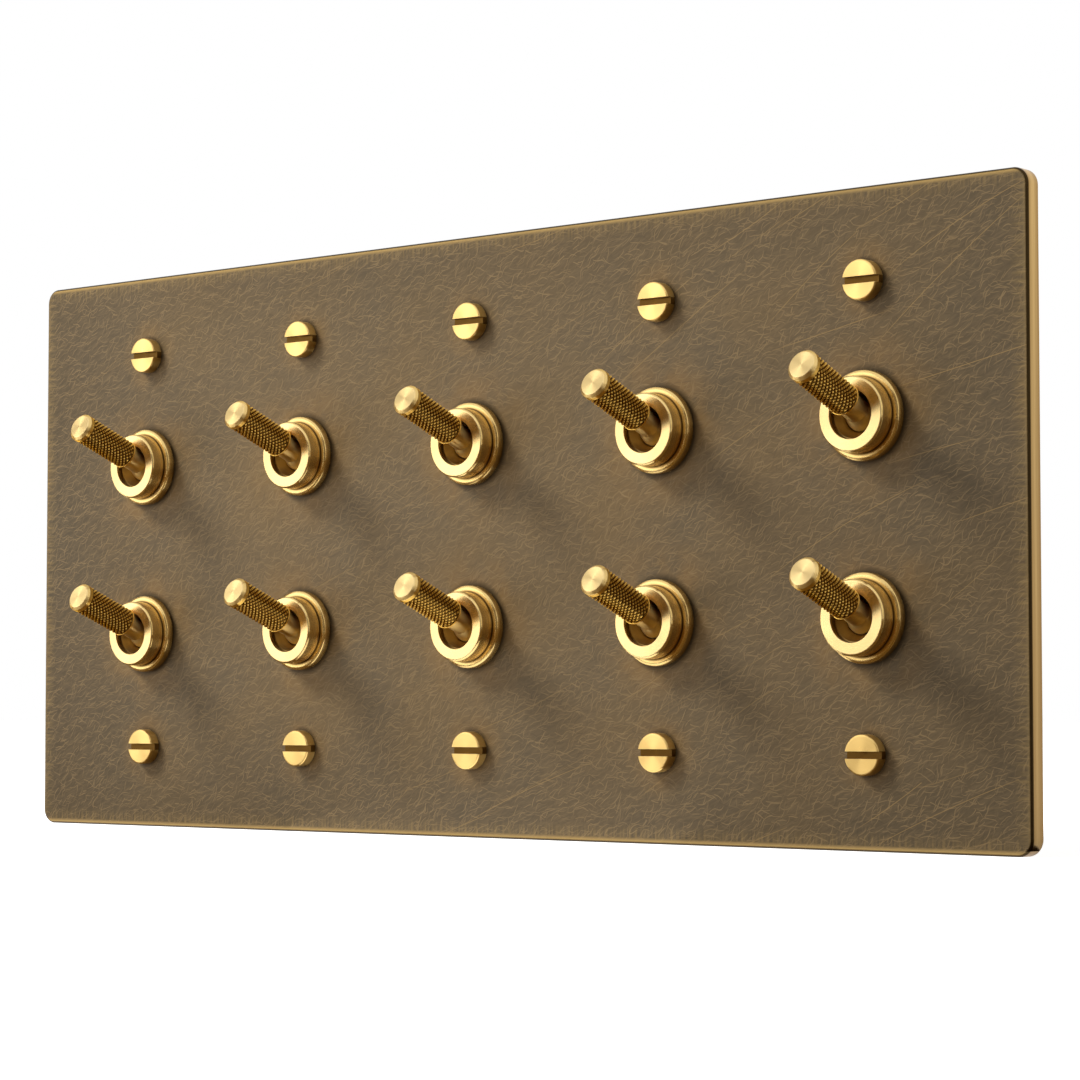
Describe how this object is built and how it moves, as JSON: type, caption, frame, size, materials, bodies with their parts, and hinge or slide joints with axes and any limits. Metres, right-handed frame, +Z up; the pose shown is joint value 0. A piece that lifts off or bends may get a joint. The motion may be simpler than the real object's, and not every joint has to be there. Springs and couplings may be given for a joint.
{
  "type": "dolly light switch",
  "caption": "Wide aged-brass wall plate with rows of knurled toggle dollies in stepped round collars, slotted fixing screws and complete toggle switch bodies behind.",
  "frame": {"origin": "centre of the plate's back face, which is the wall's plane", "axes": "+X along the plate to the right seen from the front, +Z up, +Y into the wall"},
  "size_m": [0.25, 0.0497, 0.117],
  "materials": {
    "aged_plate": "antique bronze, covered in fine hair scratches",
    "bright_brass": "satin, turned",
    "bush_brass": "machined",
    "zinc_steel": "zinc plated",
    "spring_steel": "bright wire",
    "terminal_brass": "stamped",
    "screw_brass": "bright",
    "copper": "stamped copper",
    "nylon": "moulded",
    "phenolic": "moulded phenolic"
  },
  "bodies": {
    "panel": {"face_plate": "aged_plate", "plate_screws": "bright_brass", "bezel_washers": "bright_brass", "ring_nuts": "bright_brass", "threaded_bushes": "bush_brass", "hex_nuts": "zinc_steel", "brackets": "zinc_steel", "pivot_pins": "zinc_steel", "terminals": "terminal_brass", "terminal_screws": "screw_brass", "switch_housing_1": "phenolic", "switch_housing_2": "phenolic", "switch_housing_3": "phenolic", "switch_housing_4": "phenolic", "switch_housing_5": "phenolic", "switch_housing_6": "phenolic", "switch_housing_7": "phenolic", "switch_housing_8": "phenolic", "switch_housing_9": "phenolic", "switch_housing_10": "phenolic"},
    "lever_1": {"dolly_1": "bright_brass", "plunger_1": "nylon", "spring_1": "spring_steel"},
    "contact_1": {"rocker_1": "copper"},
    "lever_2": {"dolly_2": "bright_brass", "plunger_2": "nylon", "spring_2": "spring_steel"},
    "contact_2": {"rocker_2": "copper"},
    "lever_3": {"dolly_3": "bright_brass", "plunger_3": "nylon", "spring_3": "spring_steel"},
    "contact_3": {"rocker_3": "copper"},
    "lever_4": {"dolly_4": "bright_brass", "plunger_4": "nylon", "spring_4": "spring_steel"},
    "contact_4": {"rocker_4": "copper"},
    "lever_5": {"dolly_5": "bright_brass", "plunger_5": "nylon", "spring_5": "spring_steel"},
    "contact_5": {"rocker_5": "copper"},
    "lever_6": {"dolly_6": "bright_brass", "plunger_6": "nylon", "spring_6": "spring_steel"},
    "contact_6": {"rocker_6": "copper"},
    "lever_7": {"dolly_7": "bright_brass", "plunger_7": "nylon", "spring_7": "spring_steel"},
    "contact_7": {"rocker_7": "copper"},
    "lever_8": {"dolly_8": "bright_brass", "plunger_8": "nylon", "spring_8": "spring_steel"},
    "contact_8": {"rocker_8": "copper"},
    "lever_9": {"dolly_9": "bright_brass", "plunger_9": "nylon", "spring_9": "spring_steel"},
    "contact_9": {"rocker_9": "copper"},
    "lever_10": {"dolly_10": "bright_brass", "plunger_10": "nylon", "spring_10": "spring_steel"},
    "contact_10": {"rocker_10": "copper"}
  },
  "joints": [
    {"name": "dolly_1_throw", "type": "hinge", "parent": "panel", "child": "lever_1", "pos_m": [-0.092, -0.0046, 0.01775], "axis": [1, 0, 0], "range_deg": [0, 44]},
    {"name": "rocker_1_tip", "type": "hinge", "parent": "panel", "child": "contact_1", "pos_m": [-0.092, 0.0133, 0.01775], "axis": [1, 0, 0], "range_deg": [-13.2, 0]},
    {"name": "dolly_2_throw", "type": "hinge", "parent": "panel", "child": "lever_2", "pos_m": [-0.046, -0.0046, 0.01775], "axis": [1, 0, 0], "range_deg": [0, 44]},
    {"name": "rocker_2_tip", "type": "hinge", "parent": "panel", "child": "contact_2", "pos_m": [-0.046, 0.0133, 0.01775], "axis": [1, 0, 0], "range_deg": [-13.2, 0]},
    {"name": "dolly_3_throw", "type": "hinge", "parent": "panel", "child": "lever_3", "pos_m": [0, -0.0046, 0.01775], "axis": [1, 0, 0], "range_deg": [0, 44]},
    {"name": "rocker_3_tip", "type": "hinge", "parent": "panel", "child": "contact_3", "pos_m": [0, 0.0133, 0.01775], "axis": [1, 0, 0], "range_deg": [-13.2, 0]},
    {"name": "dolly_4_throw", "type": "hinge", "parent": "panel", "child": "lever_4", "pos_m": [0.046, -0.0046, 0.01775], "axis": [1, 0, 0], "range_deg": [0, 44]},
    {"name": "rocker_4_tip", "type": "hinge", "parent": "panel", "child": "contact_4", "pos_m": [0.046, 0.0133, 0.01775], "axis": [1, 0, 0], "range_deg": [-13.2, 0]},
    {"name": "dolly_5_throw", "type": "hinge", "parent": "panel", "child": "lever_5", "pos_m": [0.092, -0.0046, 0.01775], "axis": [1, 0, 0], "range_deg": [0, 44]},
    {"name": "rocker_5_tip", "type": "hinge", "parent": "panel", "child": "contact_5", "pos_m": [0.092, 0.0133, 0.01775], "axis": [1, 0, 0], "range_deg": [-13.2, 0]},
    {"name": "dolly_6_throw", "type": "hinge", "parent": "panel", "child": "lever_6", "pos_m": [-0.092, -0.0046, -0.01775], "axis": [1, 0, 0], "range_deg": [0, 44]},
    {"name": "rocker_6_tip", "type": "hinge", "parent": "panel", "child": "contact_6", "pos_m": [-0.092, 0.0133, -0.01775], "axis": [1, 0, 0], "range_deg": [-13.2, 0]},
    {"name": "dolly_7_throw", "type": "hinge", "parent": "panel", "child": "lever_7", "pos_m": [-0.046, -0.0046, -0.01775], "axis": [1, 0, 0], "range_deg": [0, 44]},
    {"name": "rocker_7_tip", "type": "hinge", "parent": "panel", "child": "contact_7", "pos_m": [-0.046, 0.0133, -0.01775], "axis": [1, 0, 0], "range_deg": [-13.2, 0]},
    {"name": "dolly_8_throw", "type": "hinge", "parent": "panel", "child": "lever_8", "pos_m": [0, -0.0046, -0.01775], "axis": [1, 0, 0], "range_deg": [0, 44]},
    {"name": "rocker_8_tip", "type": "hinge", "parent": "panel", "child": "contact_8", "pos_m": [0, 0.0133, -0.01775], "axis": [1, 0, 0], "range_deg": [-13.2, 0]},
    {"name": "dolly_9_throw", "type": "hinge", "parent": "panel", "child": "lever_9", "pos_m": [0.046, -0.0046, -0.01775], "axis": [1, 0, 0], "range_deg": [0, 44]},
    {"name": "rocker_9_tip", "type": "hinge", "parent": "panel", "child": "contact_9", "pos_m": [0.046, 0.0133, -0.01775], "axis": [1, 0, 0], "range_deg": [-13.2, 0]},
    {"name": "dolly_10_throw", "type": "hinge", "parent": "panel", "child": "lever_10", "pos_m": [0.092, -0.0046, -0.01775], "axis": [1, 0, 0], "range_deg": [0, 44]},
    {"name": "rocker_10_tip", "type": "hinge", "parent": "panel", "child": "contact_10", "pos_m": [0.092, 0.0133, -0.01775], "axis": [1, 0, 0], "range_deg": [-13.2, 0]}
  ],
  "couplings": [
    {"joint": "rocker_1_tip", "follows": "dolly_1_throw", "ratio": -0.3},
    {"joint": "rocker_2_tip", "follows": "dolly_2_throw", "ratio": -0.3},
    {"joint": "rocker_3_tip", "follows": "dolly_3_throw", "ratio": -0.3},
    {"joint": "rocker_4_tip", "follows": "dolly_4_throw", "ratio": -0.3},
    {"joint": "rocker_5_tip", "follows": "dolly_5_throw", "ratio": -0.3},
    {"joint": "rocker_6_tip", "follows": "dolly_6_throw", "ratio": -0.3},
    {"joint": "rocker_7_tip", "follows": "dolly_7_throw", "ratio": -0.3},
    {"joint": "rocker_8_tip", "follows": "dolly_8_throw", "ratio": -0.3},
    {"joint": "rocker_9_tip", "follows": "dolly_9_throw", "ratio": -0.3},
    {"joint": "rocker_10_tip", "follows": "dolly_10_throw", "ratio": -0.3}
  ]
}
